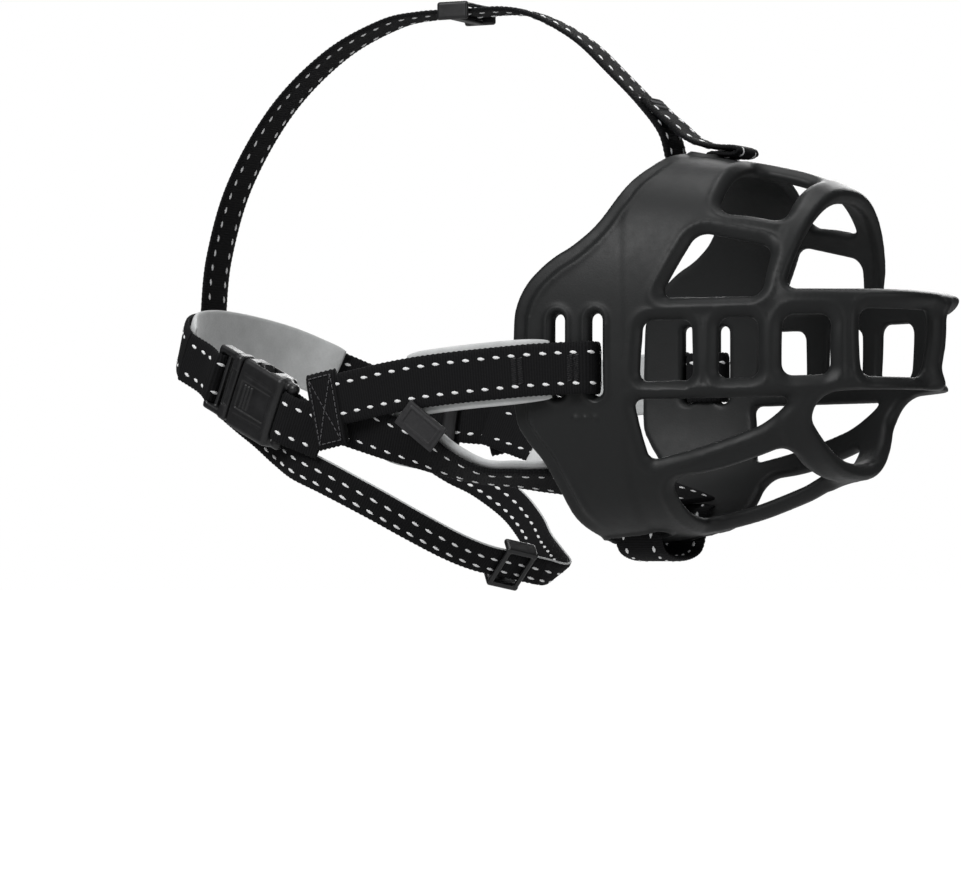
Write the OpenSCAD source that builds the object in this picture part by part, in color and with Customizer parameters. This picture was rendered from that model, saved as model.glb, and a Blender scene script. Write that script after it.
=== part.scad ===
// Flexible basket muzzle with a webbing harness, as worn.
// +X points along the snout towards the nose, +Y to the wearer's left, +Z up.
// The origin is the centre of the opening that the snout goes in through.

/* [Basket] */
// Thickness of the moulded wall
wall_t = 4.5; // [3.5:0.1:5.5]
// Squareness of the cross-section: 2 is an ellipse
squareness = 2.7; // [2.3:0.1:3.2]
// Front face of the hoops, which lean forward a little away from the rails
hoop_front = 69; // [67:0.5:71]
// Top of the side rails
rail_top = 14.5; // [13.5:0.1:15.5]
// Bottom of the side rails
rail_bottom = -17.5; // [-18.5:0.1:-16.5]
// Half the width of the bars on the centre line
centre_bar = 4; // [3:0.1:5]

/* [Webbing] */
// Width of the cheek, jaw, neck and forehead webbing
web_w = 16; // [15:0.5:16]
// Width of the throat webbing
throat_w = 11; // [10:0.5:12]
// Thickness of the webbing
web_t = 1.8; // [1.4:0.1:2]
// Thickness of the soft lining under the webbing
pad_t = 2.6; // [2:0.1:3]

/* [Buckle] */
// Length of the buckle's socket
socket_l = 22; // [20:0.5:24]
// Width of the buckle across the strap
buckle_w = 23; // [22:0.5:25]
// Thickness of the buckle
buckle_t = 8.4; // [8:0.1:9]

/* [Hidden] */

rubber = "#2b2c2e";
webbing = "#17171a";
lining = "#b4b6b8";
acetal = "#101012";

// Basket stations along X: [x, half width, top, bottom]
STATIONS = [[-24, 50.5, 62, -64], [0, 50.5, 61, -62], [20, 49.5, 59.3, -59.5], [40, 47, 56, -55],
    [56, 44.6, 52.5, -49.5], [69, 41.8, 49.5, -44], [80, 37.8, 47, -40], [90, 30.5, 44, -37],
    [98, 20.5, 42, -35], [102, 11, 41, -34], [103.5, 1.5, 40, -33]];
nose_x = 103.5;
// How far the front leans forward for each millimetre of height
nose_slant = 0.09;
// Where the wall starts to lean in towards the nose
LEAN_X = 60;
// The rear rim seen from the side, from the top round the strap flap to the bottom
RIM = [[16, 75], [16, 57], [12, 49], [6, 37], [-1, 30], [-9, 25], [-16, 18.5], [-20, 11], [-21, 2],
    [-21, -22], [-18, -30], [-13, -37], [-10, -45], [-8, -53], [-4, -60], [-3, -66], [-3, -75]];
// The front outline seen from the side: lower hoop, its flared foot, nose rails, upper hoop
FRONT = [[hoop_front + 8, -75], [hoop_front + 0.6, -31], [70.7, -25.5], [74.5, -20.8], [80, -18],
    [83.5, rail_bottom], [108, rail_bottom + 2], [108, rail_top], [hoop_front - 3, rail_top],
    [hoop_front + 7, 75]];

/* ---- vectors and smooth curves ---- */

function unit(v) = v / norm(v);

// Point at fraction t of the smooth curve's stretch i through the points p
function curve_at(p, i, t) =
    let (a = p[max(i - 1, 0)], b = p[i], c = p[i + 1], d = p[min(i + 2, len(p) - 1)])
    0.5 * (2 * b + (c - a) * t + (2 * a - 5 * b + 4 * c - d) * t ^ 2
        + (3 * b - a - 3 * c + d) * t ^ 3);

function smooth_path(p, n) = concat(
    [for (i = [0 : len(p) - 2]) for (k = [0 : n - 1]) curve_at(p, i, k / n)],
    [p[len(p) - 1]]);

// Closed skin over rings that all have the same number of points
module skin(rings) {
    m = len(rings[0]);
    last = len(rings) - 1;
    walls = [for (i = [0 : last - 1]) for (j = [0 : m - 1])
        let (a = i * m + j, b = i * m + (j + 1) % m)
        each [[a, b + m, b], [a, a + m, b + m]]];
    caps = [[for (j = [0 : m - 1]) j], [for (j = [m - 1 : -1 : 0]) last * m + j]];
    polyhedron([for (r = rings) each r], concat(walls, caps), convexity = 10);
}

// A flat band that follows a route. Each station is [x, y, z, outward face x, y, z].
// lift moves the band off the route along its outward face.
module band(stations, w, t, lift = 0, n = 4) {
    s = smooth_path(stations, n);
    last = len(s) - 1;
    skin([for (i = [0 : last])
        let (p = [s[i][0], s[i][1], s[i][2]],
            q = s[min(i + 1, last)] - s[max(i - 1, 0)],
            along = unit([q[0], q[1], q[2]]),
            rough = [s[i][3], s[i][4], s[i][5]],
            out = unit(rough - along * (rough * along)),
            across = cross(along, out))
        [for (c = [[1, -1], [-1, -1], [-1, 1], [1, 1]])
            p + across * c[0] * w / 2 + out * (lift + c[1] * t / 2)]]);
}

// The same route on the wearer's other side
function other_side(stations) = [for (s = stations) [s[0], -s[1], s[2], s[3], -s[4], s[5]]];

/* ---- basket ---- */

// The cross-section grows rounder by this much from the collar to the hoops
rounder = 0.6;
function squareness_at(x) = squareness - rounder * min(max((x - 35) / 35, 0), 1);

// One cross-section of the basket, shrunk by inset
function basket_ring(s, inset) =
    let (nose = max(0, (s[0] - LEAN_X) / (nose_x - LEAN_X)), e = 2 / squareness_at(s[0]))
    [for (a = [0 : 9 : 351])
        let (c = cos(a), d = sin(a), half_h = d > 0 ? s[2] - inset : -s[3] - inset)
        let (z = half_h * sign(d) * abs(d) ^ e)
        [s[0] + nose * (nose_slant * z - inset), max(s[1] - inset, 0.4) * sign(c) * abs(c) ^ e, z]];

module basket_body(inset) skin([for (s = smooth_path(STATIONS, 2)) basket_ring(s, inset)]);

// Opening with round corners, cut along Y between y0 and y1. Corners are [x, z].
module side_window(corners, r, y0 = -70, y1 = 70) {
    hull() for (c = corners)
        translate([c[0], y1, c[1]]) rotate([90, 0, 0]) cylinder(r = r, h = y1 - y0, $fn = 24);
}

// Opening with round corners, cut along Z between z0 and z1. Corners are [x, y].
module flat_window(corners, r, z0, z1) {
    hull() for (c = corners) translate([c[0], c[1], z0]) cylinder(r = r, h = z1 - z0, $fn = 24);
}

module basket_windows() {
    // three small windows between the side rails
    side_window([[23.8, 2.6], [35.6, 2.6], [35.8, -9.8], [22.8, -9.8]], 3);
    side_window([[48.2, 3], [56.2, 3], [56.2, -9.2], [47.8, -9.2]], 3);
    side_window([[68.2, 3.8], [75.8, 3.8], [75.2, -8.4], [67.6, -8.4]], 3);
    // upper rear and lower rear windows
    side_window([[30, 15.4], [39.4, 29.8], [58.6, 27], [58.6, 15.4]], 3);
    side_window([[20.4, -20.8], [64, -20.3], [44, -29.8], [23, -34.4]], 2.4);
    // nose windows, either side of the front bar
    for (side = [-1, 1])
        side_window([[89, 5.6], [112, 5.6], [112, -8.6], [89, -8.6]], 3,
            side < 0 ? -60 : centre_bar, side < 0 ? -centre_bar : 60);
    // top and bottom windows, either side of the centre bars
    for (side = [-1, 1]) {
        flat_window([[45, side * 8], [58, side * 8], [58, side * 28.8], [45, side * 32.6]], 4, 20, 75);
        flat_window([[31, side * 8.5], [59, side * 8.5], [58, side * 29], [32, side * 33.6]],
            4.5, -75, -20);
    }
    // two strap slots in each flap
    for (x = [-5, 7.5]) side_window([[x, 6], [x, -15.4]], 2);
    // forehead slot across the top, chin slots in the bottom
    flat_window([[24.5, -8.5], [24.5, 8.5]], 2.2, 40, 75);
    for (side = [-1, 1]) flat_window([[-1, side * 17], [14, side * 17]], 2.2, -75, -40);
}

module basket() color(rubber) difference() {
    intersection() {
        difference() {
            basket_body(0);
            basket_body(wall_t);
            translate([-40, -60, -70]) cube([17, 120, 140]);
        }
        rotate([90, 0, 0]) linear_extrude(130, center = true)
            polygon(concat(smooth_path(RIM, 2), FRONT));
    }
    basket_windows();
}

/* ---- webbing and linings ---- */

CHEEK = [[3, -53, -8.6, 0, -1, 0], [-4, -53.8, -8.8, 0, -1, 0], [-15, -56, -9.4, 0, -1, 0],
    [-40, -59.5, -11.6, 0, -1, 0], [-58, -60.3, -14, 0, -1, 0], [-74, -60.2, -16.8, 0, -1, 0]];
// The cheek webbing's end, in through the front slot and back along the inside
CHEEK_TURN = [[5.5, -53.2, -8.5, -0.6, -1, 0], [7.5, -50, -8.4, 1, -0.4, 0],
    [7, -44.8, -8.4, 0.6, 1, 0], [2, -43.2, -8.5, 0, 1, 0], [-2.8, -43.8, -8.6, -0.3, 1, 0]];
JAW = [[-74, -55.6, -24.5, 0, -1, -0.2], [-62, -55, -28.8, 0, -1, -0.4],
    [-51.5, -52.6, -33, 0, -0.8, -0.6], [-44, -49.6, -37.4, 0, -0.62, -0.78],
    [-34, -44.6, -42.2, 0, -0.45, -0.9], [-25, -39, -44, 0, -0.35, -0.93],
    [-17, -32, -44.6, 0, -0.3, -0.95], [-8, -26, -45.6, 0, -0.25, -0.97], [4, -22, -47.2, 0, -0.2, -1]];
CHIN = [[6.5, -22, -50.8, 0, -0.3, -1], [6.5, -19, -52, 0, -0.8, -0.6], [6.5, -17.3, -56, 0, -1, -0.2],
    [6.5, -16.6, -60.5, 0, -1, -0.3], [6.5, -13.5, -64.5, 0, -0.6, -0.8], [6.5, -7, -66.4, 0, -0.1, -1],
    [6.5, 0, -66.8, 0, 0, -1], [6.5, 7, -66.4, 0, 0.1, -1], [6.5, 13.5, -64.5, 0, 0.6, -0.8],
    [6.5, 16.6, -60.5, 0, 1, -0.3], [6.5, 17.3, -56, 0, 1, -0.2], [6.5, 19, -52, 0, 0.8, -0.6],
    [6.5, 22, -50.8, 0, 0.3, -1]];
JUNCTION = [[-74.9, -60, -19.5, 0, -1, 0], [-80, -59.8, -20.5, 0, -1, 0], [-85, -59.2, -21.5, 0, -1, 0]];
NECK_FRONT = [[-86, -58.9, -21.7, 0, -1, 0], [-89.4, -58.5, -22.3, -0.1, -1, 0]];
NAPE = [[-140.2, -44.4, -2.4, -0.65, -1, 0.15], [-147, -35, 1, -0.9, -0.75, 0.2],
    [-154, -20, 4.5, -1, -0.4, 0.2], [-157, 0, 6, -1, 0, 0.2], [-154, 20, 4.5, -1, 0.4, 0.2],
    [-147, 35, 1, -0.9, 0.75, 0.2], [-136, 47.5, -5.5, -0.6, 1, 0.1], [-122, 54, -12, -0.3, 1, 0.05],
    [-106, 57.5, -18, -0.1, 1, 0]];
NECK_LEFT = [[-105, 57.7, -18.3, -0.1, 1, 0], [-98, 58.3, -20, -0.05, 1, 0],
    [-92, 58.7, -20.9, 0, 1, 0], [-88.2, 58.9, -21.4, 0, 1, 0]];
// The throat webbing's ends run up inside the nape lining and the left neck webbing
TUCK_RIGHT = [[-95.5, -53.2, -37.6, 0, -1, -0.2], [-103, -49.5, -32.5, -0.1, -1, -0.15],
    [-112, -45.5, -27, -0.2, -1, -0.1], [-122, -41.2, -21.5, -0.3, -1, -0.05],
    [-132, -37, -15.5, -0.45, -1, 0], [-138.6, -33.4, -10.5, -0.7, -0.9, 0.1],
    [-142.6, -30.6, -6, -0.9, -0.75, 0.2]];
TUCK_LEFT = [[-95.5, 53.2, -37.6, 0, 1, -0.2], [-103, 52.5, -31.5, -0.1, 1, -0.1],
    [-110, 52.7, -24.5, -0.2, 1, -0.05], [-116, 52.3, -19, -0.25, 1, 0], [-121, 51.4, -15, -0.3, 1, 0.05]];
THROAT = [[-94.5, -53.6, -38.2, 0, -1, -0.2], [-84, -53.5, -44, 0.1, -1, -0.3],
    [-70, -48.5, -51.5, 0.25, -0.95, -0.45], [-59, -40, -58.5, 0.4, -0.85, -0.6],
    [-51, -30.5, -63.5, 0.5, -0.7, -0.7], [-45.5, -23, -66.5, 0.6, -0.6, -0.8]];
// The slider sits on a straight stretch of the throat webbing
THROAT_STRAIGHT = [[-45, -22.3, -66.8, 0.6, -0.6, -0.8], [-33, -6, -71, 0.6, -0.6, -0.8]];
THROAT_FRONT = concat([[-32.3, -4.6, -71.4, 0.6, -0.55, -0.8], [-31, 0, -72, 0.65, 0, -0.85],
    [-33, 7, -71.2, 0.6, 0.4, -0.85], [-40, 17, -68.5, 0.6, 0.6, -0.8]],
    [for (i = [4 : -1 : 0]) other_side(THROAT)[i]]);
FOREHEAD_TURN = [[-8, 0, 86, 0.7, 0, 0.75], [2, 0, 76, 0.7, 0, 0.75], [9.5, 0, 66.5, 0.85, 0, 0.5],
    [12.3, 0, 57.5, 1, 0, 0.2], [15, 0, 51.4, 0.7, 0, 0.9], [19, 0, 49.8, 0, 0, 1],
    [23, 0, 51.6, -0.7, 0, 0.8], [24.5, 0, 55.5, -1, 0, 0.1], [26.2, 0, 59.6, -0.7, 0, 0.9],
    [30, 0, 60.6, -0.1, 0, 1]];
FOREHEAD = [[-9, 0, 86.9, 0.7, 0, 0.75], [-20, 0, 97, 0.6, 0, 0.8], [-34, 0, 105, 0.35, 0, 1],
    [-46, 0, 108, 0, 0, 1]];
FOREHEAD_STRAIGHT = [[-46.5, 0, 108.1, 0, 0, 1], [-76, 0, 108.1, 0, 0, 1]];
FOREHEAD_REAR = [[-76.5, 0, 108.1, 0, 0, 1], [-90, 0, 106, -0.3, 0, 1], [-110, 0, 97, -0.6, 0, 1],
    [-130, 0, 80, -0.85, 0, 0.7], [-146, 0, 56, -1, 0, 0.4], [-154, 0, 32, -1, 0, 0.2],
    [-156.2, 0, 16, -1, 0, 0.1]];
FOREHEAD_RETURN = [[31, 0, 63.4, 0, 0, 1], [24, 0, 64.2, 0, 0, 1], [17, 0, 66.8, 0.5, 0, 0.9],
    [11.6, 0, 71.2, 0.7, 0, 0.75], [6, 0, 77.4, 0.7, 0, 0.75]];
LABEL = [[-56, -62.3, -21, 0, -1, 0], [-42, -60.9, -26, 0, -1, -0.1]];

module cheek_strap_right() color(webbing) {
    band(CHEEK, web_w, web_t);
    band(CHEEK_TURN, web_w, web_t);
}
module cheek_strap_left() mirror([0, 1, 0]) cheek_strap_right();

// Linings sit on the wearer's side of the webbing and show along both its edges
lining_gap = 0.3;
lining_lift = -(web_t + pad_t) / 2 - lining_gap;
lining_w = web_w + 4.4;
module lining(stations) color(lining) band(stations, lining_w, pad_t, lining_lift);

CHEEK_LINED = [[-11, -55.2, -9.2, 0, -1, 0], [-15, -56, -9.4, 0, -1, 0],
    [-36, -59.1, -11.2, 0, -1, 0], [-43, -59.6, -11.9, 0, -1, 0]];
JAW_LINED = [for (i = [1 : 5]) JAW[i]];
NAPE_LINED = concat([curve_at(NAPE, 0, 0.6)], [for (i = [1 : 6]) NAPE[i]]);
module cheek_pad_right() lining(CHEEK_LINED);
module cheek_pad_left() lining(other_side(CHEEK_LINED));
module jaw_pad_right() lining(JAW_LINED);
module jaw_pad_left() mirror([0, 1, 0]) jaw_pad_right();
module nape_pad() lining(NAPE_LINED);

module jaw_strap_right() color(webbing) band(JAW, web_w, web_t);
module jaw_strap_left() mirror([0, 1, 0]) jaw_strap_right();
module chin_loop() color(webbing) band(CHIN, web_w, web_t, n = 3);

// Patch that the cheek, jaw and neck webbing are sewn into
patch_w = 24;
patch_t = 3;
module junction_right() color(webbing) band(JUNCTION, patch_w, patch_t);
module junction_left() mirror([0, 1, 0]) junction_right();

module neck_strap_right() color(webbing) band(NECK_FRONT, web_w, web_t);
module neck_strap_left() color(webbing) band(NECK_LEFT, web_w, web_t);
module nape_strap() color(webbing) band(NAPE, web_w, web_t);
module throat_strap_right() color(webbing) {
    band(THROAT, throat_w, web_t);
    band(THROAT_STRAIGHT, throat_w, web_t, n = 2);
}
module throat_strap_left() color(webbing) band(THROAT_FRONT, throat_w, web_t);
module throat_tuck_right() color(webbing) band(TUCK_RIGHT, throat_w, web_t);
module throat_tuck_left() color(webbing) band(TUCK_LEFT, throat_w, web_t);
module forehead_strap_front() color(webbing) {
    band(FOREHEAD_TURN, web_w, web_t, n = 3);
    band(FOREHEAD, web_w, web_t);
    band(FOREHEAD_STRAIGHT, web_w, web_t, n = 2);
}
module forehead_strap_rear() color(webbing) band(FOREHEAD_REAR, web_w, web_t);
module forehead_return() color(webbing) band(FOREHEAD_RETURN, web_w, web_t);

label_w = 9;
label_t = 1;
module label_tag() color("#1d1d20") band(LABEL, label_w, label_t);

/* ---- buckle, sliders and keeper ---- */

// Local frame on a route from a to b: x along it from a, y along the outward face, z across
module on_route(a, b, face) {
    u = unit(b - a);
    v = unit(face - u * (face * u));
    w = cross(u, v);
    multmatrix([[u[0], v[0], w[0], a[0]], [u[1], v[1], w[1], a[1]], [u[2], v[2], w[2], a[2]],
        [0, 0, 0, 1]]) children();
}

// Block given by its low and high corners
module block(low, high) translate(low) cube(high - low);

BUCKLE_A = [-94, -57.8, -23.6];
BUCKLE_B = [-139, -45, -3];
BUCKLE_FACE = [-0.25, -1, 0];
module on_buckle() on_route(BUCKLE_A, BUCKLE_B, BUCKLE_FACE) children();

half_w = buckle_w / 2;
half_t = buckle_t / 2;
pocket_w = half_w - 2.4;
pocket_t = half_t - 1.5;
socket_end = 2 + socket_l;
plug_x = socket_end + 1;
// The arms' heads sit in side openings from window_a to window_b
window_a = 11;
window_b = 19.2;
arm_t = 2;
arm_root = plug_x - arm_t / 2 - 0.3;
arm_z = 5.6;
arm_w = pocket_t - 0.6;

module buckle_socket() color(acetal) on_buckle() difference() {
    union() {
        block([5, -half_t, -half_w], [socket_end, half_t, half_w]);
        block([1.5, -2.4, -half_w + 1], [5, 2.4, half_w - 1]);
    }
    block([8.5, -pocket_t, -pocket_w], [socket_end + 1, pocket_t, pocket_w]);
    block([window_a, -pocket_t, -half_w - 1], [window_b, pocket_t, half_w + 1]);
    block([3.2, -half_t - 1, -8], [5.8, half_t + 1, 8]);
}

module buckle_plug() color(acetal) on_buckle() difference() {
    union() {
        block([plug_x, -3.4, -half_w + 0.5], [plug_x + 4, 3.4, half_w - 0.5]);
        block([plug_x + 4, -2.4, -half_w + 1], [plug_x + 12, 2.4, half_w - 1]);
        block([10, -1.6, -1.4], [plug_x, 1.6, 1.4]);
    }
    for (x = [plug_x + 4, plug_x + 8]) block([x, -4, -8], [x + 2.4, 4, 8]);
}

module arm() {
    translate([arm_root, 0, arm_z + arm_t / 2]) rotate([90, 0, 0])
        cylinder(d = arm_t, h = 2 * arm_w, center = true, $fn = 32);
    block([13.5, -arm_w, arm_z], [arm_root, arm_w, arm_z + arm_t]);
    rotate([90, 0, 0]) linear_extrude(2 * arm_w, center = true)
        polygon([[13, arm_z], [18.4, arm_z], [18.4, half_w + 0.6], [16.5, half_w + 0.6], [13, arm_z + 3.4]]);
}
module buckle_arm_upper() color(acetal) on_buckle() arm();
module buckle_arm_lower() color(acetal) on_buckle() mirror([0, 0, 1]) arm();

// Short stretch of webbing between the plug and the nape webbing
module plug_webbing() color(webbing)
    on_buckle() block([plug_x + 12.4, -web_t / 2, -web_w / 2], [norm(BUCKLE_B - BUCKLE_A) - 1,
        web_t / 2, web_w / 2]);

// Three-bar slider round a flat strap of width w: two bars outside it and one inside
slider_l = 11;
slider_t = 6;
strap_gap = 0.45;
module slider(w) {
    chan = web_t / 2 + strap_gap;
    difference() {
        block([-slider_l / 2, -slider_t / 2, -w / 2 - 2.6], [slider_l / 2, slider_t / 2, w / 2 + 2.6]);
        block([-slider_l, -chan, -w / 2 - 0.7], [slider_l, chan, w / 2 + 0.7]);
        block([-3.5, 0, -w / 2 - 0.7], [3.5, slider_t, w / 2 + 0.7]);
        for (x = [-slider_l, 1.6])
            block([x, -slider_t, -w / 2 - 0.7], [x + slider_l - 1.6, 0, w / 2 + 0.7]);
    }
}

throat_a = [THROAT_STRAIGHT[0][0], THROAT_STRAIGHT[0][1], THROAT_STRAIGHT[0][2]];
throat_b = [THROAT_STRAIGHT[1][0], THROAT_STRAIGHT[1][1], THROAT_STRAIGHT[1][2]];
module throat_slider() color(acetal) on_route((throat_a + throat_b) / 2, throat_b, [0.6, -0.6, -0.8])
    slider(throat_w);

forehead_slider_x = -62;
module forehead_slider() color(acetal)
    on_route([forehead_slider_x, 0, 108.1], [forehead_slider_x - 10, 0, 108.1], [0, 0, 1]) slider(web_w);

// Closed loop that holds the spare end of the neck webbing
keeper_l = 5;
keeper_wall = 1.4;
keeper_a = [-97, 58.35, -20.2];
keeper_b = [-90, 58.7, -21.3];
module strap_keeper() color(acetal) on_route(keeper_a, keeper_b, [0, 1, 0]) difference() {
    inner_t = web_t / 2 + 1;
    inner_w = web_w / 2 + 0.8;
    block([-keeper_l / 2, -inner_t - keeper_wall, -inner_w - keeper_wall],
        [keeper_l / 2, inner_t + keeper_wall, inner_w + keeper_wall]);
    block([-keeper_l, -inner_t, -inner_w], [keeper_l, inner_t, inner_w]);
}

basket();
cheek_strap_right();
cheek_strap_left();
cheek_pad_right();
cheek_pad_left();
jaw_strap_right();
jaw_strap_left();
jaw_pad_right();
jaw_pad_left();
chin_loop();
junction_right();
junction_left();
neck_strap_right();
neck_strap_left();
nape_strap();
nape_pad();
buckle_socket();
buckle_plug();
buckle_arm_upper();
buckle_arm_lower();
plug_webbing();
strap_keeper();
throat_strap_right();
throat_strap_left();
throat_slider();
throat_tuck_right();
throat_tuck_left();
forehead_strap_front();
forehead_strap_rear();
forehead_slider();
forehead_return();
label_tag();
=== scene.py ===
import math
import bmesh
import bpy
import numpy as np
import openvdb
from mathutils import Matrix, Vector


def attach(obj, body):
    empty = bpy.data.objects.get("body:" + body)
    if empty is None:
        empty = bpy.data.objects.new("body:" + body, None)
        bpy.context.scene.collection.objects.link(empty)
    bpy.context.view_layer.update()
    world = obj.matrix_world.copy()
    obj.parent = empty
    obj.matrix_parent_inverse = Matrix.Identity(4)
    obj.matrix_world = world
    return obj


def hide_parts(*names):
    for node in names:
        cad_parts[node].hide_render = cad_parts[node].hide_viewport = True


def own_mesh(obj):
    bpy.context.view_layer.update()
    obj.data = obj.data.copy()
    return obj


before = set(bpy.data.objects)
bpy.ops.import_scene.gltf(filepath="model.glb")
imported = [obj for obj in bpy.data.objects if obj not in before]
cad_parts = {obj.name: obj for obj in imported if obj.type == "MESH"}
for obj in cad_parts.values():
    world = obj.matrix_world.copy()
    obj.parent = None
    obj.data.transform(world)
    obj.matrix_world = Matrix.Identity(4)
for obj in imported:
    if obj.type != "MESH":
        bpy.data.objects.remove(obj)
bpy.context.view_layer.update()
MM = 0.001

# ---------------------------------------------------------------- driving sizes, millimetres
WALL = 4.5
# Where the hoops' rear faces, and their front faces above and below, cross the side rails
HOOP_REAR, HOOP_TOP_FRONT, HOOP_LOW_FRONT = 62.0, 65.2, 69.0
RAIL_TOP, RAIL_BOTTOM = 14.5, -17.5
# At RAIL_X the lower rails' underside and middle are this far above RAIL_BOTTOM. The upper rails'
# middle is this far below RAIL_TOP.
RAIL_X, LOW_RAIL_UNDER, LOW_RAIL_MIDDLE, TOP_RAIL_MIDDLE, RAIL_SPREAD = 75.0, 1.2, 4.4, 3.6, 2.7
CENTRE_BAR = 4.0
WEB_W, THROAT_W, PATCH_W, WEB_T, PAD_T = 16.0, 11.0, 24.0, 1.7, 2.6
DASH_PITCH, DASH_LENGTH, DASH_WIDTH = 4.9, 2.5, 1.15
RIB_PITCH = 0.85

# Side slots for the cheek webbing: their places along X, half width, ends and corner radius
SLOT_XS, SLOT_HALF, SLOT_LOW, SLOT_HIGH, SLOT_R = (-5.0, 7.5), 2.0, -17.2, 8.0, 1.99
# Three raised dots where the real moulding has its size text
DOT_X, DOT_STEP, DOT_Z = 0.5, 3.2, -23.5

# Basket stations along X: x, half width, top, bottom, before the nose is rounded off
STATIONS = [(-26, 50.5, 62, 64), (0, 50.5, 61, 62), (20, 49.5, 59.3, 59.5), (40, 47, 56, 55),
            (56, 45.2, 52.5, 49.5), (69, 43.4, 49.5, 46), (84, 41.0, 47, 49), (108, 40, 43, 35)]
NOSE_START, NOSE_LENGTH, NOSE_SLANT = 50.0, 51.0, 0.09
SQUARENESS, NOSE_SQUARENESS = 2.7, 2.6
# The section grows rounder by this much towards the hoops, above and below
ROUNDER_TOP, ROUNDER_LOW = 0.6, 0.55
TOP_LEAN, LOW_LEAN, RAIL_RISE = 0.19, 0.26, 0.07
# The rear rim seen from the side
RIM = [(17, 75), (17, 57), (12, 49), (6, 37), (-1, 30), (-9, 25), (-16, 18.5), (-20, 11), (-21, 2),
       (-21, -22), (-18, -30), (-13, -37), (-10, -45), (-8, -53), (-4, -60), (-3, -66), (-3, -75)]


# ---------------------------------------------------------------- curves
def smooth_curve(points, steps):
    """Catmull-Rom curve through the points, as an array with `steps` samples a stretch."""
    p = np.asarray(points, float)
    p = np.vstack([p[:1], p, p[-1:]])
    t = (np.arange(steps) / steps)[:, None]
    rows = []
    for a, b, c, d in zip(p[:-3], p[1:-2], p[2:-1], p[3:]):
        rows.append(0.5 * (2 * b + (c - a) * t + (2 * a - 5 * b + 4 * c - d) * t ** 2
                           + (3 * b - a - 3 * c + d) * t ** 3))
    return np.vstack(rows + [p[-1:]])


def ramp(v, low, high):
    """Smooth step from 0 at low to 1 at high."""
    t = np.clip((v - low) / (high - low), 0, 1)
    return t * t * (3 - 2 * t)


def bump(v, centre, width):
    return np.exp(-((v - centre) / width) ** 2)


# ---------------------------------------------------------------- basket
VOXEL = 0.72
SHELL_REACH = 8.0


class Shell:
    """Grid points near the basket's wall, on the wearer's left half, with their place on it."""

    def __init__(self):
        self.xs = np.arange(-26, 109, VOXEL)
        self.ys = np.arange(0, 57, VOXEL)
        self.zs = np.arange(-69, 67, VOXEL)
        table = smooth_curve(STATIONS, 12)
        half, top, low = (np.interp(self.xs, table[:, 0], table[:, k]) for k in (1, 2, 3))
        x = self.xs[:, None, None]
        y = self.ys[None, :, None]
        z = self.zs[None, None, :]
        tall = np.where(z > 0, top[:, None, None], low[:, None, None])
        nose = np.maximum(x - NOSE_START, 0) / (NOSE_LENGTH + NOSE_SLANT * z)
        q = NOSE_SQUARENESS
        n = SQUARENESS - np.where(z > 0, ROUNDER_TOP, ROUNDER_LOW) * ramp(x, 35, 70)
        plan = ((y / half[:, None, None]) ** q + nose ** q) ** (1 / q)
        level = ((plan ** n + (np.abs(z) / tall) ** n) ** (1 / n) - 1).astype(np.float32)
        slope = np.gradient(level, VOXEL)
        steep = np.sqrt(sum(g * g for g in slope)) + 1e-6
        self.shape = level.shape
        depth = level / steep
        self.near = np.abs(depth + WALL / 2) < SHELL_REACH
        self.depth = depth[self.near] + WALL / 2
        self.normal = [(g / steep)[self.near] for g in slope]
        here = np.broadcast_arrays(x, y, z)
        self.at = [c[self.near].astype(np.float32) - self.depth * m
                   for c, m in zip(here, self.normal)]

    def beyond(self, a, b, c, k):
        """Distance along the wall past the plane a x + b y + c z = k."""
        size = math.sqrt(a * a + b * b + c * c)
        a, b, c, k = a / size, b / size, c / size, k / size
        x, y, z = self.at
        nx, ny, nz = self.normal
        across = np.sqrt(np.clip(1 - (a * nx + b * ny + c * nz) ** 2, 0.16, 1))
        return (a * x + b * y + c * z - k) / across

    def edges(self, corners, plan=False):
        """Distances past each side of a convex outline, in side view (x, z) or plan (x, y).
        The corners go anticlockwise."""
        out = []
        for (x0, v0), (x1, v1) in zip(corners, corners[1:] + corners[:1]):
            a, v = v1 - v0, -(x1 - x0)
            k = a * x0 + v * v0
            out.append(self.beyond(a, v, 0, k) if plan else self.beyond(a, 0, v, k))
        return out


def rounded(edges, r):
    """Signed distance to the area inside all edges, with its corners rounded to r."""
    worst = edges[0] + r
    outside = np.maximum(edges[0] + r, 0) ** 2
    for e in edges[1:]:
        worst = np.maximum(worst, e + r)
        outside = outside + np.maximum(e + r, 0) ** 2
    return np.sqrt(outside) + np.minimum(worst, 0) - r


def outline_distance(x, z, line):
    """Distance to a polyline in side view, positive behind it (lower x)."""
    best = np.full(x.shape, 1e9, np.float32)
    sign = np.ones(x.shape, np.float32)
    for (x0, z0), (x1, z1) in zip(line[:-1], line[1:]):
        dx, dz = x1 - x0, z1 - z0
        t = np.clip(((x - x0) * dx + (z - z0) * dz) / (dx * dx + dz * dz), 0, 1)
        gap = np.hypot(x - x0 - t * dx, z - z0 - t * dz)
        side = np.sign((x - x0) * dz - (z - z0) * dx)
        closer = gap < best
        best = np.where(closer, gap, best)
        sign = np.where(closer, side, sign)
    return best * sign


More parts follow.
